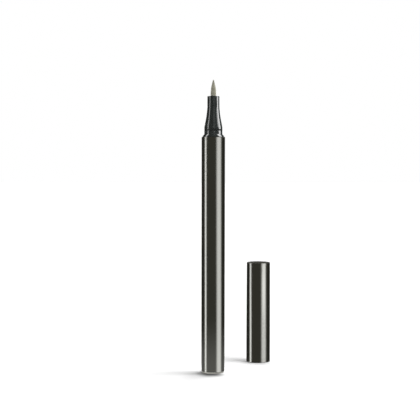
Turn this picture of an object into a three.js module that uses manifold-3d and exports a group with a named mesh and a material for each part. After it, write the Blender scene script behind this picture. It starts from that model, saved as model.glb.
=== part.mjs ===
// A felt-tip eyebrow pen standing upright with its cap taken off and set down beside it.
// Millimetres, +Z up. The origin is the centre of the pen's flat base.
import * as THREE from "three";
import { mergeVertices } from "three/addons/utils/BufferGeometryUtils.js";
import Module from "manifold-3d";

// ---------- driving dimensions ----------
const SEG = 36; // facets round the outer pieces
const SEG_CORE = 24; // facets round the inner pieces

// barrel
const BARREL_R = 5.0;
const BARREL_BORE = 4.4;
const BARREL_Z0 = 0.6;
const BARREL_Z1 = 100.65;
const INNER_TUBE_R = 4.35;
const INNER_TUBE_BORE = 3.75;
const INNER_TUBE_Z0 = 0.75;
const INNER_TUBE_Z1 = 92.9;

// base plug
const PLUG_RIM_R = 4.8;
const PLUG_RIM_Z = 0.56;
const PLUG_SPIGOT_R = 3.69;
const PLUG_SPIGOT_BORE = 2.9;
const PLUG_FLOOR_Z = 1.7;
const PLUG_TOP_Z = 9.0;

// reservoir
const CORE_R = 3.37;
const CORE_Z0 = 9.35;
const CORE_Z1 = 87.6;
const CORE_SOCKET_R = 1.32;
const CORE_SOCKET_Z = 81.6;
const FILM_R = 3.6;
const FILM_BORE = 3.43;
const FILM_Z0 = 9.1;
const FILM_Z1 = 87.8;

// front section: shoulder bevel, collar, flare and nose
const SHOULDER_R = 4.93;
const SHOULDER_Z = 100.69;
const COLLAR_R = 3.89;
const COLLAR_Z0 = 101.84;
const RING_Z0 = 103.35;
const RING_Z1 = 103.91;
const RING_GROOVE_R = 3.5;
const FLARE = [
  // radius, height: from the collar's top edge up to the nose
  [3.885, 104.45],
  [3.82, 105.1],
  [3.665, 105.95],
  [3.475, 106.8],
  [3.305, 107.65],
  [3.15, 108.5],
  [3.01, 109.35],
  [2.9, 110.2],
  [2.8, 111.04],
  [2.7, 111.95],
  [2.625, 112.75],
];
const NOSE_R = 2.585;
const NOSE_Z0 = 113.5;
const NOSE_Z1 = 117.95;
const NOSE_BORE = 1.66;
const SECTION_SPIGOT_R = 4.34;
const SECTION_STEP_Z = 93.1;
const SECTION_TAIL_R = 3.69;
const SECTION_TAIL_Z = 88.1;
const SECTION_BORE = 2.85;

// nib and its holder
const NIB_R = 1.255;
const NIB_END_Z = 82.0;
const NIB_POINT = [
  // radius, height: from the shaft to the point
  [1.255, 117.3],
  [1.185, 118.2],
  [1.145, 119.4],
  [1.1, 120.4],
  [1.015, 121.25],
  [0.86, 122.06],
  [0.665, 122.9],
  [0.445, 123.76],
  [0.25, 124.5],
  [0.12, 124.8],
  [0, 124.9],
];
const HOLDER_R = 1.63;
const HOLDER_BORE = 1.3;
const HOLDER_Z0 = 105.2;
const HOLDER_Z1 = 116.7;
const HOLDER_FLANGE_R = 2.35;
const HOLDER_FLANGE_Z = 106.2;
const HOLDER_VENT = 0.5; // width of each air groove

// cap, in its own frame: the mouth is at height 0 and the closed end is up
const CAP_X = 20.5;
const CAP_Y = 27.3;
const CAP_L = 44.85;
const CAP_MOUTH_R = 5.35;
const CAP_TOP_R = 5.21;
const CAP_BORE_MOUTH = 4.7;
const CAP_BORE_TOP = 4.6;
const CAP_CEILING_Z = 43.95;
const CAP_EDGE = 0.6; // rounding of the closed end
const LINER_R = 4.57;
const LINER_BORE = 4.0;
const LINER_Z0 = 1.35;
const LINER_STEP_Z0 = 7.0;
const LINER_STEP_Z1 = 8.0;
const LINER_STEP_R = 3.66;
const LINER_GUIDE_R = 4.14;
const LINER_Z1 = 15.0;

// inner cap, with its seal and spring
const INNER_R = 3.55;
const INNER_BORE = 3.05;
const INNER_Z0 = 6.75;
const INNER_CEILING_Z = 24.2;
const INNER_Z1 = 25.1;
const INNER_FLANGE_R = 4.02;
const INNER_FLANGE_Z0 = 8.06;
const INNER_FLANGE_Z1 = 9.0;
const INNER_BOSS_R = 1.95;
const INNER_BOSS_Z = 27.0;
const SEAL_SEAT_R = 3.34;
const SEAL_SEAT_Z = 8.2;
const SEAL_R = 3.3;
const SEAL_LIP_R = 2.94;
const SPRING_R = 2.75; // to the middle of the wire
const SPRING_WIRE_R = 0.225;
const SPRING_Z0 = 25.4;
const SPRING_Z1 = 41.45;
const SPRING_TURNS = 8;
const SEAT_R = 4.5;
const SEAT_Z0 = 41.75;
const SEAT_Z1 = 43.72;
const SEAT_BOSS_R = 1.95;
const SEAT_BOSS_Z = 39.6;

// ---------- helpers ----------
const wasm = await Module();
wasm.setup();

// A geometry with shared vertices, no collapsed faces and its faces pointing out.
function closed(geometry) {
  const g = geometry.clone();
  g.deleteAttribute("normal");
  g.deleteAttribute("uv");
  const m = mergeVertices(g, 1e-4);
  const from = m.index.array;
  const faces = [];
  for (let i = 0; i < from.length; i += 3) {
    const [a, b, c] = [from[i], from[i + 1], from[i + 2]];
    if (a !== b && b !== c && a !== c) faces.push(a, b, c);
  }
  const p = m.attributes.position;
  const [u, v, w] = [0, 1, 2].map(() => new THREE.Vector3());
  let volume = 0;
  for (let i = 0; i < faces.length; i += 3) {
    u.fromBufferAttribute(p, faces[i]);
    v.fromBufferAttribute(p, faces[i + 1]);
    w.fromBufferAttribute(p, faces[i + 2]);
    volume += u.dot(v.cross(w));
  }
  if (volume < 0)
    for (let i = 0; i < faces.length; i += 3)
      [faces[i + 1], faces[i + 2]] = [faces[i + 2], faces[i + 1]];
  m.setIndex(faces);
  return m;
}

// A turned piece from its [radius, height] outline, anticlockwise with the radius to the right.
function turned(outline, segments = SEG) {
  const points = outline.map(([r, z]) => new THREE.Vector2(r, z));
  return closed(
    new THREE.LatheGeometry(points, segments).rotateX(Math.PI / 2),
  );
}

// A turned ring: the outline closes on itself.
const ring = (outline, segments) =>
  turned([...outline, outline[0]], segments);

function solidOf(geometry) {
  return new wasm.Manifold(
    new wasm.Mesh({
      numProp: 3,
      vertProperties: geometry.attributes.position.array,
      triVerts: new Uint32Array(geometry.index.array),
    }),
  );
}

// A piece with other pieces cut out of it.
function cut(geometry, cutters) {
  let solid = solidOf(geometry);
  for (const c of cutters) solid = solid.subtract(solidOf(closed(c)));
  const m = solid.getMesh();
  const v = new Float32Array(m.numVert * 3);
  for (let i = 0; i < m.numVert; i++)
    v.set(
      m.vertProperties.subarray(i * m.numProp, i * m.numProp + 3),
      i * 3,
    );
  return new THREE.BufferGeometry()
    .setAttribute("position", new THREE.BufferAttribute(v, 3))
    .setIndex(new THREE.BufferAttribute(m.triVerts, 1));
}

// A block of the given size, standing off the axis at an angle, for cutting slots.
function slot(width, depth, height, radius, z, angle) {
  return new THREE.BoxGeometry(depth, width, height)
    .translate(radius + depth / 2, 0, z + height / 2)
    .rotateZ(angle);
}

// The spring's centre line: a helix whose first and last turns lie nearly flat.
class Coil extends THREE.Curve {
  getPoint(t, target = new THREE.Vector3()) {
    const turn = t * SPRING_TURNS;
    const flat = 2 * SPRING_WIRE_R * 1.15; // rise of an end turn
    const low = SPRING_Z0 + SPRING_WIRE_R;
    const high = SPRING_Z1 - SPRING_WIRE_R;
    let z;
    if (turn < 1) z = low + flat * turn;
    else if (turn > SPRING_TURNS - 1) z = high - flat * (SPRING_TURNS - turn);
    else
      z =
        low +
        flat +
        ((turn - 1) / (SPRING_TURNS - 2)) * (high - low - 2 * flat);
    const angle = 2 * Math.PI * turn;
    return target.set(
      SPRING_R * Math.cos(angle),
      SPRING_R * Math.sin(angle),
      z,
    );
  }
}

// ---------- finishes ----------
const finish = (color, roughness, metalness) =>
  new THREE.MeshStandardMaterial({ color, roughness, metalness });
const GRAPHITE = [0x34342e, 0.24, 0.9];
const GLOSS_BLACK = [0x191c1f, 0.16, 0];
const RUBBER_BLACK = [0x1c1d1d, 0.4, 0];
const MOULDED_BLACK = [0x1d1d1d, 0.45, 0];
const GREY_PLASTIC = [0xa6a49b, 0.4, 0];
const NATURAL_PLASTIC = [0xe9e7df, 0.42, 0];
const FELT = [0x96948a, 0.95, 0];
const FIBRE = [0xd9d3c4, 0.95, 0];
const CLEAR_FILM = [0xdfe3e4, 0.2, 0];
const SOFT_SEAL = [0x8d8f90, 0.7, 0];
const STEEL = [0xb9bbbd, 0.28, 1];

const pen = new THREE.Group();
const cap = new THREE.Group();
cap.position.set(CAP_X, CAP_Y, 0);

function add(group, name, geometry, look) {
  const mesh = new THREE.Mesh(geometry, finish(...look));
  mesh.name = name;
  group.add(mesh);
}

// ---------- pen ----------
add(
  pen,
  "barrel_sleeve",
  ring([
    [BARREL_BORE, BARREL_Z0],
    [BARREL_R - 0.25, BARREL_Z0],
    [BARREL_R - 0.07, BARREL_Z0 + 0.09],
    [BARREL_R, BARREL_Z0 + 0.3],
    [BARREL_R, BARREL_Z1 - 0.22],
    [BARREL_R - 0.06, BARREL_Z1 - 0.07],
    [BARREL_R - 0.2, BARREL_Z1],
    [BARREL_BORE, BARREL_Z1],
  ]),
  GRAPHITE,
);

add(
  pen,
  "inner_tube",
  ring(
    [
      [INNER_TUBE_BORE, INNER_TUBE_Z0],
      [INNER_TUBE_R, INNER_TUBE_Z0],
      [INNER_TUBE_R, INNER_TUBE_Z1],
      [INNER_TUBE_BORE, INNER_TUBE_Z1],
    ],
    SEG_CORE,
  ),
  MOULDED_BLACK,
);

// Plug with a rounded rim, a flat foot with a shallow moulded ring, and a slotted spigot.
add(
  pen,
  "base_plug",
  cut(
    turned([
      [0, 0],
      [3.1, 0],
      [3.2, 0.12],
      [3.5, 0.12],
      [3.6, 0],
      [4.4, 0],
      [4.65, 0.09],
      [4.77, 0.26],
      [PLUG_RIM_R, PLUG_RIM_Z],
      [PLUG_SPIGOT_R, PLUG_RIM_Z],
      [PLUG_SPIGOT_R, PLUG_TOP_Z - 0.3],
      [PLUG_SPIGOT_R - 0.25, PLUG_TOP_Z],
      [PLUG_SPIGOT_BORE, PLUG_TOP_Z],
      [PLUG_SPIGOT_BORE, PLUG_FLOOR_Z],
      [0, PLUG_FLOOR_Z],
    ]),
    [0, 1, 2].map((i) =>
      slot(0.8, 2, 3, PLUG_SPIGOT_BORE - 0.4, 7, 0.3 + (i * 2 * Math.PI) / 3),
    ),
  ),
  GREY_PLASTIC,
);

add(
  pen,
  "reservoir_core",
  turned(
    [
      [0, CORE_Z0],
      [CORE_R - 0.3, CORE_Z0],
      [CORE_R, CORE_Z0 + 0.3],
      [CORE_R, CORE_Z1],
      [CORE_SOCKET_R, CORE_Z1],
      [CORE_SOCKET_R, CORE_SOCKET_Z],
      [0, CORE_SOCKET_Z],
    ],
    SEG_CORE,
  ),
  FIBRE,
);

add(
  pen,
  "reservoir_film",
  ring(
    [
      [FILM_BORE, FILM_Z0],
      [FILM_R, FILM_Z0],
      [FILM_R, FILM_Z1],
      [FILM_BORE, FILM_Z1],
    ],
    SEG_CORE,
  ),
  CLEAR_FILM,
);

// Neck: two spigots in the barrel, the bevelled shoulder, the grooved collar, the flare and the nose.
add(
  pen,
  "front_section",
  ring([
    [SECTION_BORE, SECTION_TAIL_Z],
    [SECTION_TAIL_R, SECTION_TAIL_Z],
    [SECTION_TAIL_R, SECTION_STEP_Z],
    [SECTION_SPIGOT_R, SECTION_STEP_Z],
    [SECTION_SPIGOT_R, SHOULDER_Z],
    [SHOULDER_R - 0.03, SHOULDER_Z],
    [SHOULDER_R, SHOULDER_Z + 0.05],
    [COLLAR_R + 0.04, COLLAR_Z0 - 0.04],
    [COLLAR_R, COLLAR_Z0 + 0.06],
    [COLLAR_R, RING_Z0 - 0.02],
    [RING_GROOVE_R, RING_Z0 - 0.02],
    [RING_GROOVE_R, RING_Z1 + 0.02],
    [COLLAR_R, RING_Z1 + 0.02],
    ...FLARE,
    [NOSE_R, NOSE_Z0],
    [NOSE_R, NOSE_Z1 - 0.25],
    [NOSE_R - 0.08, NOSE_Z1 - 0.06],
    [NOSE_R - 0.25, NOSE_Z1],
    [NOSE_BORE + 0.12, NOSE_Z1],
    [NOSE_BORE, NOSE_Z1 - 0.12],
    [NOSE_BORE, 107.6],
    [2.45, 106.4],
    [2.45, 104.6],
    [SECTION_BORE, 103.4],
  ]),
  GLOSS_BLACK,
);

add(
  pen,
  "grip_ring",
  ring([
    [RING_GROOVE_R + 0.02, RING_Z0],
    [COLLAR_R - 0.02, RING_Z0],
    [COLLAR_R + 0.03, RING_Z0 + 0.12],
    [COLLAR_R + 0.03, RING_Z1 - 0.12],
    [COLLAR_R - 0.02, RING_Z1],
    [RING_GROOVE_R + 0.02, RING_Z1],
  ]),
  RUBBER_BLACK,
);

// Bush with a flange at its foot and four air grooves along its outside.
add(
  pen,
  "nib_holder",
  cut(
    ring(
      [
        [HOLDER_BORE, HOLDER_Z0],
        [HOLDER_FLANGE_R, HOLDER_Z0],
        [HOLDER_FLANGE_R, HOLDER_FLANGE_Z],
        [HOLDER_R, HOLDER_FLANGE_Z + 0.2],
        [HOLDER_R, HOLDER_Z1],
        [HOLDER_BORE, HOLDER_Z1],
      ],
      SEG_CORE,
    ),
    [0, 1, 2, 3].map((i) =>
      slot(HOLDER_VENT, 2, 20, 1.47, 100, Math.PI / 4 + (i * Math.PI) / 2),
    ),
  ),
  MOULDED_BLACK,
);

add(
  pen,
  "nib",
  turned(
    [
      [0, NIB_END_Z],
      [0.8, NIB_END_Z],
      [NIB_R, NIB_END_Z + 0.8],
      ...NIB_POINT,
    ],
    SEG_CORE,
  ),
  FELT,
);

// ---------- cap ----------
// Drawn cup with a slight draft, wider at its mouth, and a rounded closed end.
const rounded = [0, 0.25, 0.5, 0.75, 1].map((t) => {
  const a = (t * Math.PI) / 2;
  return [
    CAP_TOP_R - CAP_EDGE + CAP_EDGE * Math.cos(a),
    CAP_L - CAP_EDGE + CAP_EDGE * Math.sin(a),
  ];
});
add(
  cap,
  "cap_sleeve",
  turned([
    [0, CAP_CEILING_Z],
    [CAP_BORE_TOP - 0.2, CAP_CEILING_Z],
    [CAP_BORE_TOP, CAP_CEILING_Z - 0.2],
    [CAP_BORE_MOUTH, 0.18],
    [CAP_BORE_MOUTH + 0.15, 0],
    [CAP_MOUTH_R - 0.14, 0],
    [CAP_MOUTH_R, 0.16],
    ...rounded,
    [0, CAP_L],
  ]),
  GRAPHITE,
);

// Bush with a lead-in, the bore that grips the collar, a step that keeps the inner cap in, and a guide with air slots through the step.
add(
  cap,
  "cap_liner",
  cut(
    ring([
      [LINER_BORE + 0.3, LINER_Z0],
      [LINER_R, LINER_Z0],
      [LINER_R, LINER_Z1],
      [LINER_GUIDE_R, LINER_Z1],
      [LINER_GUIDE_R, LINER_STEP_Z1],
      [LINER_STEP_R, LINER_STEP_Z1],
      [LINER_STEP_R, LINER_STEP_Z0 + 0.35],
      [LINER_BORE, LINER_STEP_Z0],
      [LINER_BORE, LINER_Z0 + 0.3],
    ]),
    [0, 1, 2].map((i) =>
      slot(0.9, 0.9, 1.8, 3.2, 6.6, 0.2 + (i * 2 * Math.PI) / 3),
    ),
  ),
  MOULDED_BLACK,
);

add(
  cap,
  "spring_seat",
  turned(
    [
      [0, SEAT_BOSS_Z],
      [SEAT_BOSS_R - 0.3, SEAT_BOSS_Z],
      [SEAT_BOSS_R, SEAT_BOSS_Z + 0.4],
      [SEAT_BOSS_R, SEAT_Z0],
      [SEAT_R, SEAT_Z0],
      [SEAT_R, SEAT_Z1 - 0.3],
      [SEAT_R - 0.3, SEAT_Z1],
      [0, SEAT_Z1],
    ],
    SEG_CORE,
  ),
  NATURAL_PLASTIC,
);

const wire = new THREE.Shape(
  Array.from({ length: 8 }, (_, i) => {
    const a = (i * Math.PI) / 4;
    return new THREE.Vector2(
      SPRING_WIRE_R * Math.cos(a),
      SPRING_WIRE_R * Math.sin(a),
    );
  }),
);
add(
  cap,
  "inner_cap_spring",
  closed(
    new THREE.ExtrudeGeometry(wire, {
      steps: SPRING_TURNS * 16,
      extrudePath: new Coil(),
      bevelEnabled: false,
    }),
  ),
  STEEL,
);

// Cup over the nose and nib: a flange that the liner's step holds, a seat for the seal, and a boss for the spring.
add(
  cap,
  "inner_cap",
  turned(
    [
      [0, INNER_CEILING_Z],
      [INNER_BORE - 0.6, INNER_CEILING_Z],
      [INNER_BORE, INNER_CEILING_Z - 0.6],
      [INNER_BORE, SEAL_SEAT_Z + 0.04],
      [SEAL_SEAT_R, SEAL_SEAT_Z + 0.04],
      [SEAL_SEAT_R, INNER_Z0],
      [INNER_R, INNER_Z0],
      [INNER_R, INNER_FLANGE_Z0],
      [INNER_FLANGE_R, INNER_FLANGE_Z0],
      [INNER_FLANGE_R, INNER_FLANGE_Z1],
      [INNER_R, INNER_FLANGE_Z1],
      [INNER_R, INNER_Z1 - 0.3],
      [INNER_R - 0.3, INNER_Z1],
      [INNER_BOSS_R, INNER_Z1],
      [INNER_BOSS_R, INNER_BOSS_Z - 0.3],
      [INNER_BOSS_R - 0.3, INNER_BOSS_Z],
      [0, INNER_BOSS_Z],
    ],
    SEG_CORE,
  ),
  NATURAL_PLASTIC,
);

add(
  cap,
  "inner_cap_seal",
  ring(
    [
      [SEAL_LIP_R + 0.14, INNER_Z0],
      [SEAL_R, INNER_Z0],
      [SEAL_R, SEAL_SEAT_Z],
      [SEAL_LIP_R + 0.1, SEAL_SEAT_Z],
      [SEAL_LIP_R, SEAL_SEAT_Z - 0.6],
      [SEAL_LIP_R, INNER_Z0 + 0.35],
    ],
    SEG_CORE,
  ),
  SOFT_SEAL,
);

const part = new THREE.Group();
part.add(pen, cap);
export default part;
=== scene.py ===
import math

import bpy
import numpy as np
from mathutils import Matrix, Vector, noise


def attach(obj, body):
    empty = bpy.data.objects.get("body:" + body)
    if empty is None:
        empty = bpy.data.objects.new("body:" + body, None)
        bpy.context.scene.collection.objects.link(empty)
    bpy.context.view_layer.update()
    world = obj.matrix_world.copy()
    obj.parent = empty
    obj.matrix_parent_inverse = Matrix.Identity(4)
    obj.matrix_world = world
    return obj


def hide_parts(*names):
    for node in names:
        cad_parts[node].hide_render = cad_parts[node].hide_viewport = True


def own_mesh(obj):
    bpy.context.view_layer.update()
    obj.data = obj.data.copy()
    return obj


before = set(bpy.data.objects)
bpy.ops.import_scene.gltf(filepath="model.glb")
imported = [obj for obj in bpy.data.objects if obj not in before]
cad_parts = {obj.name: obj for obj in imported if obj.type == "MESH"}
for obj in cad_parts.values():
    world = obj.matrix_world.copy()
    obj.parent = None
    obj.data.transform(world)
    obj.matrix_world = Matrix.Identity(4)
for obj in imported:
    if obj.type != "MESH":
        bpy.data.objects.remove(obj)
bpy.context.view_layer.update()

MM = 0.001
scene = bpy.context.scene

# ---------------------------------------------------------------- sizes, in millimetres
CAP_X, CAP_Y = 20.5, 27.3
PEN = (0.0, 0.0)
CAP = (CAP_X, CAP_Y)
FLARE = [
    (103.93, 3.89), (104.45, 3.885), (105.1, 3.82), (105.95, 3.665), (106.8, 3.475),
    (107.65, 3.305), (108.5, 3.15), (109.35, 3.01), (110.2, 2.9), (111.04, 2.8),
    (111.95, 2.7), (112.75, 2.625), (113.5, 2.585), (114.2, 2.585),
]
POINT = [
    (117.3, 1.255), (118.2, 1.185), (119.4, 1.145), (120.4, 1.1), (121.25, 1.015),
    (122.06, 0.86), (122.9, 0.665), (123.76, 0.445), (124.5, 0.25),
]


# ---------------------------------------------------------------- outlines
def pchip(points, n):
    """A smooth line through (z, r) points with no overshoot, as n (r, z) pairs."""
    z = np.array([p[0] for p in points], float)
    r = np.array([p[1] for p in points], float)
    h = np.diff(z)
    d = np.diff(r) / h
    m = np.zeros(len(z))
    m[0], m[-1] = d[0], d[-1]
    for i in range(1, len(z) - 1):
        if d[i - 1] * d[i] > 0:
            w1, w2 = 2 * h[i] + h[i - 1], h[i] + 2 * h[i - 1]
            m[i] = (w1 + w2) / (w1 / d[i - 1] + w2 / d[i])
    out = []
    for t in np.linspace(z[0], z[-1], n):
        i = min(int(np.searchsorted(z, t, "right")) - 1, len(h) - 1)
        s = (t - z[i]) / h[i]
        out.append(
            (
                float(
                    (2 * s**3 - 3 * s**2 + 1) * r[i]
                    + (s**3 - 2 * s**2 + s) * h[i] * m[i]
                    + (-2 * s**3 + 3 * s**2) * r[i + 1]
                    + (s**3 - s**2) * h[i] * m[i + 1]
                ),
                float(t),
            )
        )
    return out


def rounded(points, loop, steps=6):
    """An outline whose corners (r, z, radius) are rounded; (r, z) stays a corner."""
    n = len(points)
    out = []
    for i, p in enumerate(points):
        rad = p[2] if len(p) > 2 else 0.0
        if rad <= 0 or (not loop and i in (0, n - 1)):
            out.append((p[0], p[1]))
            continue
        a = Vector(points[(i - 1) % n][:2])
        b = Vector(p[:2])
        c = Vector(points[(i + 1) % n][:2])
        u, v = a - b, c - b
        lu, lv = u.length, v.length
        u.normalize()
        v.normalize()
        angle = math.acos(max(-1.0, min(1.0, u.dot(v))))
        if angle > math.pi - 0.02:
            out.append((p[0], p[1]))
            continue
        t = min(rad / math.tan(angle / 2), 0.49 * lu, 0.49 * lv)
        rad = t * math.tan(angle / 2)
        centre = b + (u + v).normalized() * (rad / math.sin(angle / 2))
        s, e = b + u * t - centre, b + v * t - centre
        turn = math.atan2(s.x * e.y - s.y * e.x, s.dot(e))
        for k in range(steps + 1):
            w = turn * k / steps
            out.append(
                (
                    centre.x + s.x * math.cos(w) - s.y * math.sin(w),
                    centre.y + s.x * math.sin(w) + s.y * math.cos(w),
                )
            )
    return out


# ---------------------------------------------------------------- meshes
def make_object(name, mesh, axis, material):
    mesh.materials.append(material)
    mesh.polygons.foreach_set("use_smooth", [True] * len(mesh.polygons))
    mesh.set_sharp_from_angle(angle=math.radians(38))
    o = bpy.data.objects.new(name, mesh)
    scene.collection.objects.link(o)
    o.location = (axis[0] * MM, axis[1] * MM, 0)
    return o


def turned(name, outline, loop, axis, material, n=192, form=None):
    """A piece turned about a vertical axis, from an anticlockwise outline in millimetres."""
    pts = [p for i, p in enumerate(outline) if i == 0 or math.dist(p, outline[i - 1]) > 1e-5]
    if loop and math.dist(pts[0], pts[-1]) < 1e-5:
        pts.pop()
    lengths = [0.0]
    for i in range(1, len(pts) + (1 if loop else 0)):
        lengths.append(lengths[-1] + math.dist(pts[i % len(pts)], pts[i - 1]))
    total = lengths[-1]
    verts, rows = [], []
    for r, z in pts:
        if r < 1e-7:
            rows.append([len(verts)] * n)
            verts.append((0, 0, z * MM))
        else:
            rows.append(list(range(len(verts), len(verts) + n)))
            for j in range(n):
                a = 2 * math.pi * j / n
                rr, zz = (r, z) if form is None else form(a, r, z)
                verts.append((rr * math.cos(a) * MM, rr * math.sin(a) * MM, zz * MM))
    faces, uvs = [], []
    for i in range(len(pts) if loop else len(pts) - 1):
        k = (i + 1) % len(pts)
        v0, v1 = lengths[i] / total, lengths[i + 1] / total
        for j in range(n):
            q = (j + 1) % n
            u0, u1 = j / n, (j + 1) / n
            quad = [(rows[i][j], u0, v0), (rows[i][q], u1, v0), (rows[k][q], u1, v1), (rows[k][j], u0, v1)]
            seen, face = set(), []
            for c in quad:
                if c[0] not in seen:
                    seen.add(c[0])
                    face.append(c)
            if len(face) > 2:
                faces.append([c[0] for c in face])
                uvs.extend((c[1], c[2]) for c in face)
    mesh = bpy.data.meshes.new(name)
    mesh.from_pydata(verts, [], faces)
    layer = mesh.uv_layers.new(name="OFBake")
    layer.data.foreach_set("uv", np.array(uvs, np.float32).ravel())
    mesh.update()
    return make_object(name, mesh, axis, material)


def slotted(o, boxes):
    """Cuts slots (width, depth, height, radius, z, angle), in millimetres, out of a turned piece."""
    tools = []
    for width, depth, height, radius, z, angle in boxes:
        x0, x1, y, z1 = radius, radius + depth, width / 2, z + height
        corners = [(x, s * y, h) for h in (z, z1) for x, s in ((x0, -1), (x1, -1), (x1, 1), (x0, 1))]
        turn = Matrix.Rotation(angle, 3, "Z")
        mesh = bpy.data.meshes.new("slot")
        mesh.from_pydata(
            [tuple(turn @ Vector(c) * MM) for c in corners],
            [],
            [(3, 2, 1, 0), (4, 5, 6, 7), (0, 1, 5, 4), (1, 2, 6, 5), (2, 3, 7, 6), (3, 0, 4, 7)],
        )
        tool = bpy.data.objects.new("slot", mesh)
        tool.location = o.location
        scene.collection.objects.link(tool)
        tools.append(tool)
        m = o.modifiers.new("slot", "BOOLEAN")
        m.operation, m.solver, m.object = "DIFFERENCE", "EXACT", tool
    bpy.context.view_layer.update()
    seen = o.evaluated_get(bpy.context.evaluated_depsgraph_get())
    mesh = bpy.data.meshes.new_from_object(seen)
    o.modifiers.clear()
    old, o.data = o.data, mesh
    bpy.data.meshes.remove(old)
    for tool in tools:
        data = tool.data
        bpy.data.objects.remove(tool)
        bpy.data.meshes.remove(data)
    mesh.set_sharp_from_angle(angle=math.radians(38))
    return o


def swept(name, path, radius, axis, material, sides=14):
    """A closed tube of round wire along a path, in millimetres, with rounded ends."""
    p = [Vector(q) for q in path]
    n = len(p)
    tangents = [(p[min(i + 1, n - 1)] - p[max(i - 1, 0)]).normalized() for i in range(n)]
    side = Vector((0, 0, 1)).cross(tangents[0]).normalized()
    rings = []

    def ring(centre, tangent, r):
        nonlocal side
        side = (side - tangent * side.dot(tangent)).normalized()
        up = tangent.cross(side)
        rings.append(
            [
                centre + side * (r * math.cos(2 * math.pi * k / sides)) + up * (r * math.sin(2 * math.pi * k / sides))
                for k in range(sides)
            ]
        )

    for k in (3, 2, 1):
        a = k * math.pi / 7
        ring(p[0] - tangents[0] * radius * 0.5 * math.sin(a), tangents[0], radius * math.cos(a))
    for i in range(n):
        ring(p[i], tangents[i], radius)
    for k in (1, 2, 3):
        a = k * math.pi / 7
        ring(p[-1] + tangents[-1] * radius * 0.5 * math.sin(a), tangents[-1], radius * math.cos(a))
    verts = [tuple(v * MM) for r in rings for v in r]
    faces, uvs = [], []
    for i in range(len(rings) - 1):
        for k in range(sides):
            q = (k + 1) % sides
            faces.append((i * sides + k, i * sides + q, (i + 1) * sides + q, (i + 1) * sides + k))
            u0, u1 = k / sides, (k + 1) / sides
            v0, v1 = i / (len(rings) - 1), (i + 1) / (len(rings) - 1)
            uvs += [(u0, v0), (u1, v0), (u1, v1), (u0, v1)]
    for first, order in ((0, -1), ((len(rings) - 1) * sides, 1)):
        faces.append(tuple(first + k for k in range(sides))[::order])
        uvs += [(0.5 + 0.01 * math.cos(2 * math.pi * k / sides), 0.5) for k in range(sides)]
    mesh = bpy.data.meshes.new(name)
    mesh.from_pydata(verts, [], faces)
    layer = mesh.uv_layers.new(name="OFBake")
    layer.data.foreach_set("uv", np.array(uvs, np.float32).ravel())
    mesh.update()
    return make_object(name, mesh, axis, material)


# ---------------------------------------------------------------- materials
class Look:
    """A node material with the small set of patterns that these finishes share."""

    def __init__(self, name):
        self.mat = bpy.data.materials.new(name)
        self.mat.use_nodes = True
        self.t = self.mat.node_tree
        self.bsdf = self.t.nodes["Principled BSDF"]
        self.where = self.t.nodes.new("ShaderNodeTexCoord").outputs["Object"]

    def set(self, **values):
        for k, v in values.items():
            self.bsdf.inputs[k.replace("_", " ")].default_value = v
        return self

    def node(self, kind, **props):
        n = self.t.nodes.new(kind)
        for k, v in props.items():
            setattr(n, k, v)
        return n

    def link(self, a, b):
        self.t.links.new(a, b)

    def to(self, out, socket):
        self.link(out, self.bsdf.inputs[socket])

    def scaled(self, scale):
        m = self.node("ShaderNodeMapping")
        m.inputs["Scale"].default_value = scale
        self.link(self.where, m.inputs["Vector"])
        return m.outputs["Vector"]

    def noise(self, scale, detail=2.0, rough=0.5, stretch=(1, 1, 1), distortion=0.0):
        n = self.node("ShaderNodeTexNoise")
        n.inputs["Scale"].default_value = scale
        n.inputs["Detail"].default_value = detail
        n.inputs["Roughness"].default_value = rough
        n.inputs["Distortion"].default_value = distortion
        self.link(self.scaled(stretch), n.inputs["Vector"])
        return n.outputs["Fac"]

    def cells(self, scale, stretch=(1, 1, 1)):
        n = self.node("ShaderNodeTexVoronoi")
        n.inputs["Scale"].default_value = scale
        self.link(self.scaled(stretch), n.inputs["Vector"])
        return n.outputs["Distance"]

    def ramp(self, fac, stops):
        n = self.node("ShaderNodeValToRGB")
        e = n.color_ramp.elements
        while len(e) < len(stops):
            e.new(0.5)
        for i, (pos, col) in enumerate(stops):
            e[i].position = pos
            e[i].color = (*col, 1) if hasattr(col, "__len__") else (col, col, col, 1)
        self.link(fac, n.inputs["Fac"])
        return n.outputs["Color"]

    def range(self, value, a, b, c, d):
        n = self.node("ShaderNodeMapRange")
        for k, v in (("From Min", a), ("From Max", b), ("To Min", c), ("To Max", d)):
            n.inputs[k].default_value = v
        self.link(value, n.inputs["Value"])
        return n.outputs["Result"]

    def maths(self, op, a, b):
        n = self.node("ShaderNodeMath", operation=op)
        for i, v in enumerate((a, b)):
            if hasattr(v, "default_value"):
                self.link(v, n.inputs[i])
            else:
                n.inputs[i].default_value = v
        return n.outputs["Value"]

    def mix(self, fac, a, b, blend="MIX"):
        n = self.node("ShaderNodeMix", data_type="RGBA", blend_type=blend)
        for sock, v in ((n.inputs[0], fac), (n.inputs[6], a), (n.inputs[7], b)):
            if hasattr(v, "default_value"):
                self.link(v, sock)
            else:
                sock.default_value = v if not hasattr(v, "__len__") else (*v, 1)
        return n.outputs[2]

    def height(self):
        n = self.node("ShaderNodeSeparateXYZ")
        self.link(self.where, n.inputs["Vector"])
        return n.outputs["Z"]

    def bump(self, height, strength, distance):
        n = self.node("ShaderNodeBump")
        n.inputs["Strength"].default_value = strength
        n.inputs["Distance"].default_value = distance
        self.link(height, n.inputs["Height"])
        self.to(n.outputs["Normal"], "Normal")


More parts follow.
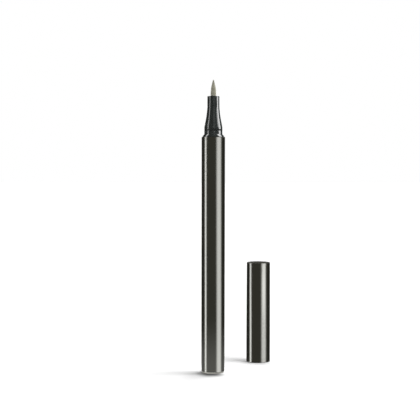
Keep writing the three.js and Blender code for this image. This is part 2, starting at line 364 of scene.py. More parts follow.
def graphite(name, ends):
    """Dark grey lacquer with very fine metal flake over drawn metal; a little paler where the ends rub."""
    k = Look(name)
    k.set(Metallic=1.0, Coat_Weight=0.2, Coat_Roughness=0.05, Coat_IOR=1.5)
    flake = k.noise(26000, 1.0, 0.6)
    drawn = k.noise(900, 3.0, 0.6, (1, 1, 0.02))
    cloud = k.noise(120, 2.0, 0.5)
    colour = k.ramp(flake, [(0.25, (0.18, 0.181, 0.17)), (0.55, (0.2, 0.2005, 0.189)), (0.8, (0.225, 0.2255, 0.214))])
    colour = k.mix(k.range(drawn, 0.3, 0.7, 0.0, 0.08), colour, (0.25, 0.25, 0.24))
    z = k.height()
    worn = None
    for low, high in ends:
        e = k.range(z, low * MM, high * MM, 1.0, 0.0)
        worn = e if worn is None else k.maths("MAXIMUM", worn, e)
    patchy = k.range(k.noise(1600, 3.0, 0.65), 0.5, 0.68, 0.0, 0.55)
    colour = k.mix(k.maths("MULTIPLY", worn, patchy), colour, (0.42, 0.418, 0.4))
    k.to(colour, "Base Color")
    rough = k.maths("ADD", k.range(drawn, 0.25, 0.75, 0.145, 0.18), k.range(cloud, 0.3, 0.7, -0.008, 0.012))
    k.to(rough, "Roughness")
    k.bump(k.maths("ADD", k.noise(2600, 2.0, 0.5), k.maths("MULTIPLY", drawn, 0.6)), 0.025, 0.00001)
    return k.mat


def gloss_black():
    """High-gloss moulded black with a cool cast, faint flow marks and fine handling marks."""
    k = Look("gloss_black")
    k.set(IOR=1.56, Coat_Weight=0.35, Coat_Roughness=0.04, Coat_IOR=1.5)
    flow = k.noise(260, 3.0, 0.55, (1, 1, 0.25), 0.4)
    fine = k.noise(5200, 2.0, 0.6)
    k.to(k.ramp(flow, [(0.3, (0.0135, 0.0168, 0.0172)), (0.7, (0.0195, 0.0238, 0.0242))]), "Base Color")
    marks = k.range(k.noise(2400, 4.0, 0.7, (1, 1, 0.12)), 0.62, 0.74, 0.0, 0.04)
    k.to(k.maths("ADD", k.range(fine, 0.3, 0.7, 0.06, 0.09), marks), "Roughness")
    k.bump(k.maths("ADD", k.maths("MULTIPLY", flow, 2.0), k.maths("MULTIPLY", fine, 0.05)), 0.02, 0.00002)
    return k.mat


def rubber():
    """Satin black rubber, with a fine grain and a faint bloom."""
    k = Look("satin_rubber")
    grain = k.noise(9000, 3.0, 0.7)
    bloom = k.noise(1400, 3.0, 0.6)
    k.to(k.ramp(bloom, [(0.3, (0.0155, 0.0175, 0.018)), (0.7, (0.0225, 0.0255, 0.026))]), "Base Color")
    k.to(k.range(grain, 0.3, 0.7, 0.27, 0.4), "Roughness")
    k.bump(grain, 0.12, 0.00002)
    return k.mat


def moulded_black():
    """Satin moulded black with a fine spark-eroded grain and pale scuffs."""
    k = Look("moulded_black")
    grain = k.noise(7000, 3.0, 0.65)
    scuff = k.range(k.noise(900, 4.0, 0.7, (1, 1, 0.3)), 0.6, 0.75, 0.0, 0.35)
    k.to(k.mix(scuff, k.ramp(grain, [(0.3, (0.011, 0.011, 0.011)), (0.7, (0.019, 0.019, 0.019))]), (0.045, 0.045, 0.044)), "Base Color")
    k.to(k.range(grain, 0.3, 0.7, 0.34, 0.46), "Roughness")
    k.bump(grain, 0.2, 0.000015)
    return k.mat


def grey_plastic():
    """Warm light grey satin plastic, with a fine mould grain and darker rubbed marks at the foot."""
    k = Look("grey_plastic")
    grain = k.noise(6500, 3.0, 0.6)
    rub = k.range(k.noise(1100, 4.0, 0.65), 0.55, 0.72, 0.0, 0.4)
    colour = k.ramp(grain, [(0.3, (0.34, 0.335, 0.3)), (0.7, (0.41, 0.405, 0.365))])
    foot = k.range(k.height(), 0.0, 0.00012, 1.0, 0.0)
    k.to(k.mix(k.maths("MULTIPLY", rub, foot), colour, (0.2, 0.197, 0.18)), "Base Color")
    k.to(k.range(grain, 0.3, 0.7, 0.3, 0.42), "Roughness")
    k.bump(grain, 0.15, 0.000012)
    return k.mat


def natural_plastic():
    """Milky unpigmented plastic with flow clouds and fine draw marks along the bore."""
    k = Look("natural_plastic")
    k.set(Subsurface_Weight=0.12, Subsurface_Scale=0.001)
    k.bsdf.inputs["Subsurface Radius"].default_value = (1.0, 0.9, 0.75)
    cloud = k.noise(420, 3.0, 0.55, (1, 1, 0.5))
    draw = k.noise(2600, 2.0, 0.6, (1, 1, 0.03))
    k.to(k.ramp(cloud, [(0.3, (0.68, 0.665, 0.6)), (0.7, (0.8, 0.785, 0.73))]), "Base Color")
    k.to(k.range(draw, 0.3, 0.7, 0.34, 0.48), "Roughness")
    k.bump(draw, 0.1, 0.00001)
    return k.mat


def felt():
    """Bundled fibres, olive-beige from the liquid, paler where fibres stand up and darker at the point; painted light
    makes the foot of the point paler where the nose rim shades it.
    """
    k = Look("felt")
    k.set(Sheen_Weight=0.25, Sheen_Roughness=0.5, Specular_IOR_Level=0.25)
    strand = k.noise(7500, 3.0, 0.65, (1, 1, 0.07), 0.15)
    fuzz = k.noise(12000, 3.0, 0.7, (1, 1, 0.5))
    blot = k.noise(700, 3.0, 0.55)
    colour = k.ramp(strand, [(0.28, (0.165, 0.158, 0.118)), (0.5, (0.255, 0.247, 0.192)), (0.75, (0.36, 0.35, 0.28))])
    colour = k.mix(k.range(blot, 0.42, 0.66, 0.0, 0.4), colour, (0.19, 0.184, 0.14))
    colour = k.mix(k.range(k.height(), 0.1226, 0.1249, 0.0, 0.45), colour, (0.12, 0.121, 0.104))
    # Painted light: the felt is made paler just above the nose rim, standing in for the light that the rim's shade
    # takes away.
    colour = k.mix(k.range(k.height(), 0.1181, 0.1189, 0.5, 0.0), colour, (0.52, 0.51, 0.43))
    k.to(colour, "Base Color")
    k.to(k.range(fuzz, 0.3, 0.7, 0.86, 1.0), "Roughness")
    k.bump(k.maths("ADD", strand, k.maths("MULTIPLY", fuzz, 0.5)), 0.6, 0.00005)
    return k.mat


def fibre():
    """Bonded fibre rod: fine lengthwise strands, stained where the liquid sits."""
    k = Look("fibre")
    k.set(Specular_IOR_Level=0.2)
    strand = k.noise(4200, 3.0, 0.65, (1, 1, 0.025), 0.2)
    soak = k.noise(90, 4.0, 0.6, (1, 1, 0.5))
    colour = k.ramp(strand, [(0.3, (0.5, 0.46, 0.37)), (0.7, (0.76, 0.72, 0.62))])
    k.to(k.mix(k.range(soak, 0.42, 0.6, 0.0, 0.75), colour, (0.17, 0.125, 0.085)), "Base Color")
    k.to(k.range(strand, 0.3, 0.7, 0.85, 1.0), "Roughness")
    k.bump(strand, 0.5, 0.00006)
    return k.mat


def clear_film():
    """Thin wrapped film, with fine lengthwise drawing lines and cloudy patches."""
    k = Look("clear_film")
    k.set(IOR=1.5)
    line = k.noise(2200, 2.0, 0.55, (1, 1, 0.02))
    cloud = k.noise(260, 3.0, 0.6)
    k.to(k.ramp(cloud, [(0.3, (0.62, 0.65, 0.66)), (0.7, (0.76, 0.79, 0.8))]), "Base Color")
    k.to(k.range(line, 0.3, 0.7, 0.1, 0.24), "Roughness")
    k.bump(line, 0.15, 0.00001)
    return k.mat


def soft_seal():
    k = Look("soft_seal")
    grain = k.noise(6000, 3.0, 0.6)
    k.to(k.ramp(grain, [(0.3, (0.2, 0.2, 0.207)), (0.7, (0.285, 0.285, 0.295))]), "Base Color")
    k.to(k.range(grain, 0.3, 0.7, 0.55, 0.72), "Roughness")
    k.bump(grain, 0.2, 0.00002)
    return k.mat


def spring_steel():
    k = Look("spring_steel")
    k.set(Metallic=1.0)
    die = k.noise(9000, 2.0, 0.6)
    k.to(k.ramp(die, [(0.3, (0.44, 0.44, 0.45)), (0.7, (0.62, 0.62, 0.63))]), "Base Color")
    k.to(k.range(die, 0.3, 0.7, 0.2, 0.34), "Roughness")
    k.bump(die, 0.08, 0.00001)
    return k.mat


BARREL_LOOK = graphite("graphite_barrel", [(0.6, 0.95), (100.65, 100.4)])
CAP_LOOK = graphite("graphite_cap", [(0.0, 0.3), (44.85, 44.4)])
BLACK = gloss_black()
RUBBER = rubber()
MOULDED = moulded_black()
NATURAL = natural_plastic()
GREY = grey_plastic()
FELT = felt()
FIBRE = fibre()
FILM = clear_film()
SEAL = soft_seal()
STEEL = spring_steel()

# ---------------------------------------------------------------- the pen
made = []


def keep(o, body, node):
    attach(o, body)
    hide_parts(node)
    made.append(o)
    return o


barrel = keep(
    turned(
        "barrel_sleeve_shell",
        rounded([(4.4, 0.6, 0.08), (5.0, 0.6, 0.14), (5.0, 100.65, 0.22), (4.4, 100.65, 0.06)], True, 8),
        True, PEN, BARREL_LOOK, 256,
    ),
    "pen", "barrel_sleeve",
)

keep(
    turned(
        "inner_tube_wall",
        rounded([(3.75, 0.75, 0.1), (4.35, 0.75, 0.15), (4.35, 92.9, 0.15), (3.75, 92.9, 0.1)], True, 4),
        True, PEN, MOULDED, 96,
    ),
    "pen", "inner_tube",
)

plug = turned(
    "base_plug_moulding",
    rounded(
        [
            (0, 0), (3.1, 0, 0.06), (3.2, 0.12, 0.06), (3.5, 0.12, 0.06), (3.6, 0, 0.06),
            (4.8, 0, 0.42), (4.8, 0.56, 0.08), (3.69, 0.56, 0.03), (3.69, 9.0, 0.3),
            (2.9, 9.0, 0.1), (2.9, 1.7, 0.3), (0, 1.7),
        ],
        False,
    ),
    False, PEN, GREY, 192,
)
slotted(plug, [(0.8, 2.0, 3.0, 2.5, 7.0, 0.3 + i * 2 * math.pi / 3) for i in range(3)])
keep(plug, "pen", "base_plug")

keep(
    turned(
        "reservoir_core_rod",
        rounded([(0, 9.35), (3.37, 9.35, 0.3), (3.37, 87.6, 0.12), (1.32, 87.6, 0.1), (1.32, 81.6, 0.2), (0, 81.6)], False, 4),
        False, PEN, FIBRE, 96,
    ),
    "pen", "reservoir_core",
)

keep(
    turned(
        "reservoir_film_wrap",
        rounded([(3.43, 9.1, 0.03), (3.6, 9.1, 0.05), (3.6, 87.8, 0.05), (3.43, 87.8, 0.03)], True, 3),
        True, PEN, FILM, 96,
    ),
    "pen", "reservoir_film",
)

neck = rounded(
    [
        (2.85, 88.1, 0.1), (3.69, 88.1, 0.25), (3.69, 93.1, 0.05), (4.34, 93.1, 0.2), (4.34, 100.69, 0.02),
        (4.93, 100.69, 0.045), (3.89, 101.84, 0.16), (3.89, 103.33, 0.04), (3.5, 103.33, 0.03), (3.5, 103.93, 0.03),
        (3.89, 103.93, 0.02),
    ],
    False,
)
neck += pchip(FLARE, 64)[1:]
neck += rounded(
    [
        (2.585, 114.2), (2.585, 117.95, 0.24), (1.66, 117.95, 0.14), (1.66, 107.6, 0.2), (2.45, 106.4, 0.1),
        (2.45, 104.6, 0.2), (2.85, 103.4, 0.2), (2.85, 88.2),
    ],
    False,
)[1:]
section = keep(turned("front_section_neck", neck, True, PEN, BLACK, 192), "pen", "front_section")

band = keep(
    turned(
        "grip_ring_band",
        rounded([(3.52, 103.35, 0.04), (3.92, 103.35, 0.2), (3.92, 103.91, 0.2), (3.52, 103.91, 0.04)], True, 8),
        True, PEN, RUBBER, 192,
    ),
    "pen", "grip_ring",
)


def air_grooves(a, r, z):
    """Four grooves along the outside of the nib's bush."""
    if r <= 1.475:
        return r, z
    off = (a - math.pi / 4 + math.pi / 4) % (math.pi / 2) - math.pi / 4
    across = abs(math.sin(off)) * r
    if across < 0.27:
        return max(1.475, r - (r - 1.475) * min(1.0, (0.27 - across) / 0.05)), z
    return r, z


keep(
    turned(
        "nib_holder_bush",
        rounded([(1.3, 105.2, 0.05), (2.35, 105.2, 0.1), (2.35, 106.2, 0.1), (1.63, 106.4, 0.05), (1.63, 116.7, 0.1), (1.3, 116.7, 0.08)], True, 4),
        True, PEN, MOULDED, 256, air_grooves,
    ),
    "pen", "nib_holder",
)


def fuzzy(a, r, z):
    """Fine lengthwise fibre ridges on the felt, and a very slightly uneven point."""
    if r < 0.02 or z < 117.0:
        return r, z
    n = noise.noise(Vector((math.cos(a) * 9.0, math.sin(a) * 9.0, z * 0.55)))
    m = noise.noise(Vector((math.cos(a) * 22.0, math.sin(a) * 22.0, z * 2.2 + 40)))
    return r + (0.011 * n + 0.007 * m) * min(1.0, r / 0.5), z


shaft = rounded([(0, 82.0), (1.255, 82.0, 0.5), (1.255, 117.1)], False, 5)
point = pchip(POINT, 130)
tip = [
    (0.25 * math.cos(t) ** 0.8 * 1.0, 124.5 + 0.4 * math.sin(t))
    for t in (i * math.pi / 2 / 12 for i in range(1, 12))
]
keep(
    turned("nib_felt_point", shaft + point + tip + [(0, 124.9)], False, PEN, FELT, 144, fuzzy),
    "pen", "nib",
)

# ---------------------------------------------------------------- the cap
shell = keep(
    turned(
        "cap_sleeve_shell",
        rounded([(0, 43.95), (4.6, 43.95, 0.3), (4.7, 0.0, 0.16), (5.35, 0.0, 0.16), (5.21, 44.85, 0.34), (0, 44.85)], False, 12),
        False, CAP, CAP_LOOK, 256,
    ),
    "cap", "cap_sleeve",
)

liner = turned(
    "cap_liner_bush",
    rounded(
        [
            (4.3, 1.35, 0.06), (4.57, 1.35, 0.06), (4.57, 15.0, 0.1), (4.14, 15.0, 0.08), (4.14, 8.0, 0.05),
            (3.66, 8.0, 0.08), (3.66, 7.35, 0.1), (4.0, 7.0, 0.1), (4.0, 1.65, 0.2),
        ],
        True,
    ),
    True, CAP, MOULDED, 192,
)
slotted(liner, [(0.9, 0.9, 1.8, 3.2, 6.6, 0.2 + i * 2 * math.pi / 3) for i in range(3)])
keep(liner, "cap", "cap_liner")

keep(
    turned(
        "spring_seat_plug",
        rounded(
            [(0, 39.6), (1.95, 39.6, 0.4), (1.95, 41.75, 0.1), (4.5, 41.75, 0.15), (4.5, 43.72, 0.3), (0, 43.72)],
            False,
        ),
        False, CAP, NATURAL, 96,
    ),
    "cap", "spring_seat",
)

TURNS, WIRE, COIL_LOW, HIGH = 8, 0.225, 25.4, 41.45
coil = []
for i in range(TURNS * 40 + 1):
    turn = i / 40
    flat = 2 * WIRE * 1.15
    lo, hi = COIL_LOW + WIRE, HIGH - WIRE
    if turn < 1:
        z = lo + flat * turn
    elif turn > TURNS - 1:
        z = hi - flat * (TURNS - turn)
    else:
        z = lo + flat + (turn - 1) / (TURNS - 2) * (hi - lo - 2 * flat)
    coil.append((2.75 * math.cos(2 * math.pi * turn), 2.75 * math.sin(2 * math.pi * turn), z))
spring = keep(swept("inner_cap_spring_coil", coil, WIRE, CAP, STEEL), "cap", "inner_cap_spring")
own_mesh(spring)

keep(
    turned(
        "inner_cap_cup",
        rounded(
            [
                (0, 24.2), (3.05, 24.2, 0.7), (3.05, 8.24, 0.03), (3.34, 8.24, 0.03), (3.34, 6.75, 0.06), (3.55, 6.75, 0.06),
                (3.55, 8.06, 0.08), (4.02, 8.06, 0.08), (4.02, 9.0, 0.12), (3.55, 9.0, 0.12), (3.55, 25.1, 0.4),
                (1.95, 25.1, 0.1), (1.95, 27.0, 0.35), (0, 27.0),
            ],
            False,
        ),
        False, CAP, NATURAL, 144,
    ),
    "inner_cap", "inner_cap",
)

keep(
    turned(
        "inner_cap_seal_ring",
        rounded([(3.08, 6.75, 0.06), (3.3, 6.75, 0.06), (3.3, 8.2, 0.05), (3.04, 8.2, 0.05), (2.94, 7.6, 0.1), (2.94, 7.1, 0.15)], True, 5),
        True, CAP, SEAL, 144,
    ),
    "inner_cap", "inner_cap_seal",
)

# ---------------------------------------------------------------- camera
F_PX, DISTANCE, EYE = 1150.0, 490.0, 90.85
PITCH, ROLL = math.atan(50.0 / F_PX), math.radians(0.1)
cam = bpy.data.cameras.new("camera")
cam.sensor_fit = "HORIZONTAL"
cam.sensor_width = 36.0
cam.lens = F_PX / 420.0 * 36.0
cam.clip_start, cam.clip_end = 0.01, 100.0
camera = bpy.data.objects.new("camera", cam)
scene.collection.objects.link(camera)
camera.matrix_world = (
    Matrix.Translation((-1.37 * MM, -DISTANCE * MM, EYE * MM))
    @ Matrix.Rotation(math.pi / 2 - PITCH, 4, "X")
    @ Matrix.Rotation(ROLL, 4, "Z")
)
scene.camera = camera

# ---------------------------------------------------------------- studio
scene.view_settings.view_transform = "Standard"
scene.view_settings.look = "None"


def see_through(tree, emission, out):
    """The light shines and hides nothing behind it."""
    clear = tree.nodes.new("ShaderNodeBsdfTransparent")
    both = tree.nodes.new("ShaderNodeAddShader")
    tree.links.new(emission.outputs["Emission"], both.inputs[0])
    tree.links.new(clear.outputs["BSDF"], both.inputs[1])
    tree.links.new(both.outputs["Shader"], out.inputs["Surface"])


def emitter(name, across, strength, along=None, colour=(1, 1, 1)):
    """A soft box whose brightness follows its width, and its height if given (stops of position and level)."""
    m = bpy.data.materials.new(name)
    m.use_nodes = True
    t = m.node_tree
    t.nodes.clear()
    out = t.nodes.new("ShaderNodeOutputMaterial")
    e = t.nodes.new("ShaderNodeEmission")
    e.inputs["Color"].default_value = (*colour, 1)
    uv = t.nodes.new("ShaderNodeUVMap")
    sep = t.nodes.new("ShaderNodeSeparateXYZ")
    t.links.new(uv.outputs["UV"], sep.inputs[0])
    gain = t.nodes.new("ShaderNodeMath")
    gain.operation = "MULTIPLY"
    gain.inputs[1].default_value = strength
    level = gain
    for axis, stops in (("X", across), ("Y", along)):
        if not stops:
            continue
        r = t.nodes.new("ShaderNodeValToRGB")
        r.color_ramp.interpolation = "EASE"
        el = r.color_ramp.elements
        while len(el) < len(stops):
            el.new(0.5)
        for i, (p, v) in enumerate(stops):
            el[i].position, el[i].color = p, (v, v, v, 1)
        t.links.new(sep.outputs[axis], r.inputs["Fac"])
        if axis == "X":
            t.links.new(r.outputs["Color"], gain.inputs[0])
        else:
            level = t.nodes.new("ShaderNodeMath")
            level.operation = "MULTIPLY"
            t.links.new(gain.outputs["Value"], level.inputs[0])
            t.links.new(r.outputs["Color"], level.inputs[1])
    t.links.new(level.outputs["Value"], e.inputs["Strength"])
    see_through(t, e, out)
    return m


def lit(light, pieces, only=True):
    """The light reaches only these pieces, or all but these."""
    c = bpy.data.collections.new(light.name + "_reach")
    for o in pieces:
        c.objects.link(o)
    if not only:
        for entry in c.collection_objects:
            entry.light_linking.link_state = "EXCLUDE"
    light.light_linking.receiver_collection = c


def softbox(name, start, end, rows, material):
    """A curved soft box round the object, from azimuth start to end in degrees right of the camera.

    Its rows are (radius, height, turn): metres, metres and degrees added to the azimuth."""
    n = 48
    verts, faces, uvs = [], [], []
    for radius, height, turn in rows:
        for i in range(n + 1):
            a = math.radians(start + (end - start) * i / n + turn)
            verts.append((radius * math.sin(a), -radius * math.cos(a), height))
    for j in range(len(rows) - 1):
        v0, v1 = j / (len(rows) - 1), (j + 1) / (len(rows) - 1)
        for i in range(n):
            a, b = j * (n + 1) + i, (j + 1) * (n + 1) + i
            faces.append((a, a + 1, b + 1, b))
            u0, u1 = i / n, (i + 1) / n
            uvs += [(u0, v0), (u1, v0), (u1, v1), (u0, v1)]
    mesh = bpy.data.meshes.new(name)
    mesh.from_pydata(verts, [], faces)
    layer = mesh.uv_layers.new(name="UVMap")
    layer.data.foreach_set("uv", np.array(uvs, np.float32).ravel())
    mesh.materials.append(material)
    o = bpy.data.objects.new(name, mesh)
    scene.collection.objects.link(o)
    o.visible_camera = False
    o.visible_shadow = False
    return o


def dome_rows(low, high, n=6, radius=0.8):
    """Rows of a soft box on a sphere about the pen's neck, between two elevations in degrees."""
    out = []
    for i in range(n + 1):
        e = math.radians(low + (high - low) * i / n)
        out.append((radius * math.cos(e), 0.1 + radius * math.sin(e), 0))
    return out


# The cap stands in a light of its own, so the pen isn't mirrored in it.
for o in made:
    if o.name.startswith(("barrel_", "inner_tube", "base_", "reservoir_")):
        o.visible_glossy = False

# Floor: plain and pale, in two layers, because the pen and the cap each have their own key lights.
# The layer under the pen fades out in front of the cap, and has a small soft contact shadow painted into its colour
# before the pen's foot.
def falloff(t, fades, reach=None):
    """A value that falls from 1 to 0 along each fade (axis, from, to), and round the origin over reach."""
    where = t.nodes.new("ShaderNodeTexCoord").outputs["Object"]
    split = t.nodes.new("ShaderNodeSeparateXYZ")
    t.links.new(where, split.inputs[0])
    sources = [(split.outputs[axis], start, end) for axis, start, end in fades]
    if reach:
        away = t.nodes.new("ShaderNodeVectorMath")
        away.operation = "LENGTH"
        t.links.new(where, away.inputs[0])
        sources.append((away.outputs["Value"], *reach))
    level = None
    for value, start, end in sources:
        there = t.nodes.new("ShaderNodeMapRange")
        there.interpolation_type = "SMOOTHSTEP" if reach else "LINEAR"
        for k, v in (("From Min", start), ("From Max", end), ("To Min", 1.0), ("To Max", 0.0)):
            there.inputs[k].default_value = v
        t.links.new(value, there.inputs["Value"])
        if level is None:
            level = there.outputs["Result"]
        else:
            both = t.nodes.new("ShaderNodeMath")
            both.operation = "MULTIPLY"
            t.links.new(level, both.inputs[0])
            t.links.new(there.outputs["Result"], both.inputs[1])
            level = both.outputs["Value"]
    return level


def floor_layer(name, depth, fades=(), shade=()):
    mat = bpy.data.materials.new(name)
    mat.use_nodes = True
    t = mat.node_tree
    b = t.nodes["Principled BSDF"]
    b.inputs["Base Color"].default_value = (0.86, 0.86, 0.86, 1)
    b.inputs["Roughness"].default_value = 0.9
    b.inputs["Specular IOR Level"].default_value = 0.0
    if fades:
        t.links.new(falloff(t, fades), b.inputs["Alpha"])
    if shade:
        # Painted shadow: the floor's colour darkens from 0.86 to 0.13 near the pen's foot, a contact shadow painted
        # in rather than cast.
        painted_shadow_tone = t.nodes.new("ShaderNodeMapRange")
        painted_shadow_tone.inputs["To Min"].default_value, painted_shadow_tone.inputs["To Max"].default_value = 0.86, 0.13
        t.links.new(falloff(t, *shade), painted_shadow_tone.inputs["Value"])
        t.links.new(painted_shadow_tone.outputs["Result"], b.inputs["Base Color"])
    mesh = bpy.data.meshes.new(name)
    mesh.from_pydata([(-4, -4, 0), (4, -4, 0), (4, 4, 0), (-4, 4, 0)], [], [(0, 1, 2, 3)])
    mesh.materials.append(mat)
    o = bpy.data.objects.new(name, mesh)
    o.location.z = -depth
    scene.collection.objects.link(o)
    o.visible_glossy = False
    return o


# Where the painted contact shadow lies: in front of the pen's foot, fading out between 5 and 14 mm from its axis.
PAINTED_FOOT_SHADOW = ([("Y", -0.006, -0.003), ("X", -0.002, -0.008), ("X", 0.001, 0.0075)], (0.005, 0.014))
floor_front = floor_layer("floor_front", 0.00003, [("Y", 0.005, 0.019)], PAINTED_FOOT_SHADOW)
floor_back = floor_layer("floor_back", 0.00005)

# Wide box at the right and narrow strip at the left: they draw the two stripes down the barrel.
UPRIGHT = [(0.8, -0.6, 5.0), (0.8, -0.14, 5.0), (0.8, 0.115, 0), (0.8, 0.9, 0)]
UPRIGHT_LEFT = [(0.8, -0.6, 3.0), (0.8, -0.14, 3.0), (0.8, 0.115, 0), (0.8, 0.9, 0)]
elsewhere = [section, band, shell, plug, floor_front, floor_back]
RAMP_R = [(0.0, 0.0), (0.34, 0.92), (0.5, 1.0), (0.68, 0.92), (1.0, 0.0)]
RAMP_L = [(0.0, 0.0), (0.4, 1.0), (0.6, 1.0), (1.0, 0.0)]
lit(softbox("box_right", 21, 93, UPRIGHT, emitter("box_right_light", RAMP_R, 2.5, [(0.0, 1.0), (0.74, 1.0), (0.8, 0.45), (1.0, 0.45)])), elsewhere, False)
lit(softbox("box_left", -96.5, -66, UPRIGHT_LEFT, emitter("box_left_light", RAMP_L, 3.25, [(0.0, 0.4), (0.12, 0.4), (0.3, 1.0), (1.0, 1.0)])), elsewhere, False)

# The same pair for the cap, which stands a little to the side; its right box is brighter higher up.
CAP_RIGHT = [(0.8, h, 2.5 if h < -0.1 else 0) for h in (-0.6, -0.136, -0.025, 0.015, 0.065, 0.14, 0.2, 0.9)]
CAP_LEFT = [(0.8, h, 8 if h < -0.1 else 2) for h in (-0.6, -0.136, -0.025, 0.015, 0.065, 0.14, 0.2, 0.9)]
LOW = [(0.0, 0.45), (0.07, 0.45), (0.136, 1.0), (0.429, 1.0), (0.571, 0.2), (0.714, 0.22), (0.857, 0.5), (1.0, 0.5)]
lit(softbox("cap_box_right", 20, 90, CAP_RIGHT, emitter("cap_box_right_light", RAMP_R, 2.5, LOW)), [shell])
lit(softbox("cap_box_left", -107, -75, CAP_LEFT, emitter("cap_box_left_light", RAMP_L, 3.2, LOW)), [shell])
lit(
    softbox("cap_box_high", 30, 80, [(0.79, -0.1, 0), (0.79, -0.04, 0), (0.79, 0.05, 0), (0.79, 0.11, 0)],
            emitter("cap_box_high_light", [(0.0, 0.0), (0.4, 1.0), (0.7, 1.0), (1.0, 0.0)], 1.3, [(0.0, 0.0), (0.33, 1.0), (0.66, 1.0), (1.0, 0.0)])),
    [shell],
)
lit(softbox("cap_box_over", 48, 122, dome_rows(36, 70), emitter("cap_box_over_light", RAMP_R, 3.2)), [shell])
lit(softbox("cap_box_over_left", -134, -98, dome_rows(24, 50), emitter("cap_box_over_left_light", RAMP_L, 3.2)), [shell])
lit(softbox("cap_box_top", 105, 255, [(0.8, 0.17, 0), (0.8, 0.3, 0), (0.8, 0.6, 0), (0.8, 0.9, 0)], emitter("cap_box_top_light", [(0.0, 0.0), (0.3, 1.0), (0.7, 1.0), (1.0, 0.0)], 0.45, [(0.0, 0.0), (0.33, 1.0), (0.66, 1.0), (1.0, 0.0)])), [shell])

# Boxes for the black neck: beside it, and high behind it for the bevelled shoulder.
SIDE_RIGHT = [(0.8, -0.3, 3), (0.8, 0.1, 3), (0.8, 0.16, 0), (0.8, 0.25, 0), (0.8, 0.36, 1), (0.8, 0.55, 1)]
SIDE_LEFT = [(0.8, -0.3, -4), (0.8, 0.1, -4), (0.8, 0.16, 4), (0.8, 0.22, 4), (0.8, 0.36, 0), (0.8, 0.55, 0)]
FLARE_RISE = [(0.8, 0.16, 0), (0.8, 0.32, 0), (0.8, 0.5, 0), (0.8, 0.62, 0)]
FRONT_RISE = [(0.8, 0.145, 0), (0.8, 0.172, 0), (0.8, 0.42, 0), (0.8, 0.6, 0)]
MIDDLE = [(0.0, 0.0), (0.33, 1.0), (0.66, 1.0), (1.0, 0.0)]
lit(softbox("neck_box_right", 71, 107, SIDE_RIGHT, emitter("neck_box_right_light", [(0.0, 0.0), (0.25, 1.0), (0.75, 1.0), (1.0, 0.0)], 8.0)), [section])
lit(softbox("neck_box_left", -86, -62, SIDE_LEFT, emitter("neck_box_left_light", [(0.0, 0.0), (0.4, 1.0), (0.6, 1.0), (1.0, 0.0)], 4.0)), [section, band])
lit(softbox("neck_box_high_right", 88, 132, dome_rows(40, 78), emitter("neck_box_high_right_light", [(0.0, 0.0), (0.35, 1.0), (0.5, 1.0), (0.7, 0.6), (1.0, 0.3)], 8.0)), [section])
lit(softbox("neck_box_high_left", -121, -101, dome_rows(38, 64), emitter("neck_box_high_left_light", [(0.0, 0.0), (0.3, 1.0), (0.7, 1.0), (1.0, 0.0)], 5.4)), [section])
lit(softbox("neck_box_flare", 54, 82, FLARE_RISE, emitter("neck_box_flare_light", [(0.0, 0.0), (0.5, 1.0), (1.0, 0.0)], 4.6, MIDDLE)), [section])
lit(softbox("neck_box_front", -6, 28, FRONT_RISE, emitter("neck_box_front_light", [(0.0, 0.0), (0.35, 1.0), (0.65, 1.0), (1.0, 0.0)], 0.6, [(0.0, 0.0), (0.33, 0.6), (0.66, 0.75), (1.0, 0.0)])), [section])

# Soft boxes behind, which draw the stripes on the far side.
BEHIND = [(0.0, 0.0), (0.35, 0.8), (0.5, 1.0), (0.65, 0.8), (1.0, 0.0)]
TALL = [(0.8, -0.6, 0), (0.8, 0.1, 0), (0.8, 0.6, 0)]
DEEP = [(0.8, -0.6, 0), (0.8, -0.2, 0), (0.8, -0.1, 0)]
deep = [(0.0, 1.0), (0.5, 1.0), (1.0, 0.0)]
lit(softbox("back_box", 158, 202, TALL, emitter("back_box_light", BEHIND, 1.0)), elsewhere, False)
lit(softbox("back_box_low", 150, 210, DEEP, emitter("back_box_low_light", BEHIND, 1.2, deep)), elsewhere, False)
lit(softbox("cap_back_box_low", 148, 212, DEEP, emitter("cap_back_box_low_light", BEHIND, 2.0, deep)), [shell])
lit(softbox("neck_back_box", 160, 200, TALL, emitter("neck_back_box_light", BEHIND, 3.0)), [section, band])

# Low box in front, for the plug's rim.
lit(softbox("foot_box", -80, 40, [(0.8, 0.0, 0), (0.8, 0.4, 0)], emitter("foot_box_light", [(0.0, 0.0), (0.25, 1.0), (0.6, 0.8), (1.0, 0.0)], 5.8)), [plug])

# Pale bounce from the floor close in front of the barrel, seen only in its polish.
bounce_mat = bpy.data.materials.new("bounce")
bounce_mat.use_nodes = True
t = bounce_mat.node_tree
t.nodes.clear()
out = t.nodes.new("ShaderNodeOutputMaterial")
e = t.nodes.new("ShaderNodeEmission")
where = t.nodes.new("ShaderNodeTexCoord")
reach = t.nodes.new("ShaderNodeVectorMath")
reach.operation = "LENGTH"
fall = t.nodes.new("ShaderNodeMapRange")
fall.interpolation_type = "SMOOTHSTEP"
for k, v in (("From Min", 0.0), ("From Max", 0.13), ("To Min", 0.27), ("To Max", 0.0)):
    fall.inputs[k].default_value = v
t.links.new(where.outputs["Object"], reach.inputs[0])
t.links.new(reach.outputs["Value"], fall.inputs["Value"])
t.links.new(fall.outputs["Result"], e.inputs["Strength"])
see_through(t, e, out)
mesh = bpy.data.meshes.new("bounce")
rim = [(0.16 * math.cos(2 * math.pi * i / 64), 0.16 * math.sin(2 * math.pi * i / 64), 0) for i in range(64)]
mesh.from_pydata(rim, [], [tuple(range(64))])
mesh.materials.append(bounce_mat)
bounce = bpy.data.objects.new("bounce", mesh)
bounce.location.z = -0.00002
scene.collection.objects.link(bounce)
bounce.visible_camera = bounce.visible_diffuse = bounce.visible_shadow = bounce.visible_transmission = False
lit(bounce, [barrel])


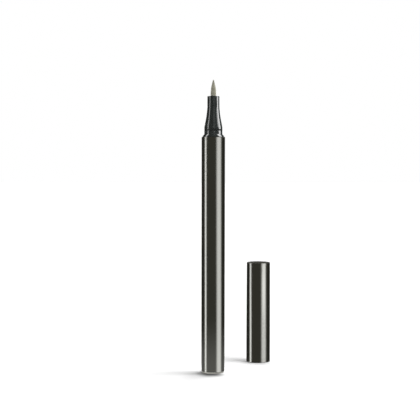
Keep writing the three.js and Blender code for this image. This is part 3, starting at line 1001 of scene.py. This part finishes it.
def sun(name, azimuth, elevation, width, energy, shade):
    """A broad, distant light: it lights matt surfaces only, isn't seen in reflections, and only the shade pieces stop it."""
    d = bpy.data.lights.new(name, "SUN")
    d.energy, d.angle = energy, math.radians(width)
    o = bpy.data.objects.new(name, d)
    scene.collection.objects.link(o)
    a, e = math.radians(azimuth), math.radians(elevation)
    towards = Vector((math.sin(a) * math.cos(e), -math.cos(a) * math.cos(e), math.sin(e)))
    o.rotation_euler = (-towards).to_track_quat("-Z", "Y").to_euler()
    o.visible_glossy = False
    o.visible_camera = False
    c = bpy.data.collections.new(name + "_shade")
    for piece in shade:
        c.objects.link(piece)
    o.light_linking.blocker_collection = c
    return o


# Keys from the right and from behind: they light the floor and the felt, and throw the short soft shadows.
of_cap = [o for o in made if o.name.startswith(("cap_", "inner_cap", "spring_"))]
of_pen = [o for o in made if o not in of_cap]
lit(sun("key", 96, 50, 25, 2.1, of_pen), [floor_back], False)
lit(sun("side_key", 136, 54, 36, 2.0, of_pen), [floor_back], False)
lit(sun("back_key", 175, 48, 48, 1.8, of_pen), [floor_back], False)
lit(sun("cap_key", 75, 62, 34, 2.3, of_cap), [floor_back])
lit(sun("cap_back_key", 175, 40, 56, 2.2, of_cap), [floor_back])
lit(sun("cap_top_key", 90, 86, 20, 0.6, of_cap), [floor_back])
lit(sun("front_fill", 38, 30, 80, 0.52, made), [floor_front, floor_back], False)

# Surroundings: white where the camera looks, an even fill on matt surfaces, dim in reflections.
world = bpy.data.worlds.new("studio")
scene.world = world
world.use_nodes = True
t = world.node_tree
t.nodes.clear()
out = t.nodes.new("ShaderNodeOutputWorld")
path = t.nodes.new("ShaderNodeLightPath")
dim, fill, white = (t.nodes.new("ShaderNodeBackground") for _ in range(3))
for n, c, s in ((dim, (1, 0.975, 0.8, 1), 0.135), (fill, (1, 1, 1, 1), 0.06), (white, (1, 1, 1, 1), 1.0)):
    n.inputs["Color"].default_value = c
    n.inputs["Strength"].default_value = s
m1, m2 = t.nodes.new("ShaderNodeMixShader"), t.nodes.new("ShaderNodeMixShader")
where = t.nodes.new("ShaderNodeTexCoord")
split = t.nodes.new("ShaderNodeSeparateXYZ")
shade = t.nodes.new("ShaderNodeMapRange")
for k, v in (("From Min", -0.1), ("From Max", 0.45), ("To Min", 0.135), ("To Max", 0.06)):
    shade.inputs[k].default_value = v
t.links.new(where.outputs["Generated"], split.inputs[0])
t.links.new(split.outputs["Y"], shade.inputs["Value"])
t.links.new(shade.outputs["Result"], dim.inputs["Strength"])
t.links.new(path.outputs["Is Diffuse Ray"], m1.inputs[0])
t.links.new(dim.outputs[0], m1.inputs[1])
t.links.new(fill.outputs[0], m1.inputs[2])
t.links.new(path.outputs["Is Camera Ray"], m2.inputs[0])
t.links.new(m1.outputs[0], m2.inputs[1])
t.links.new(white.outputs[0], m2.inputs[2])
t.links.new(m2.outputs[0], out.inputs["Surface"])
world.cycles.sampling_method = "NONE"
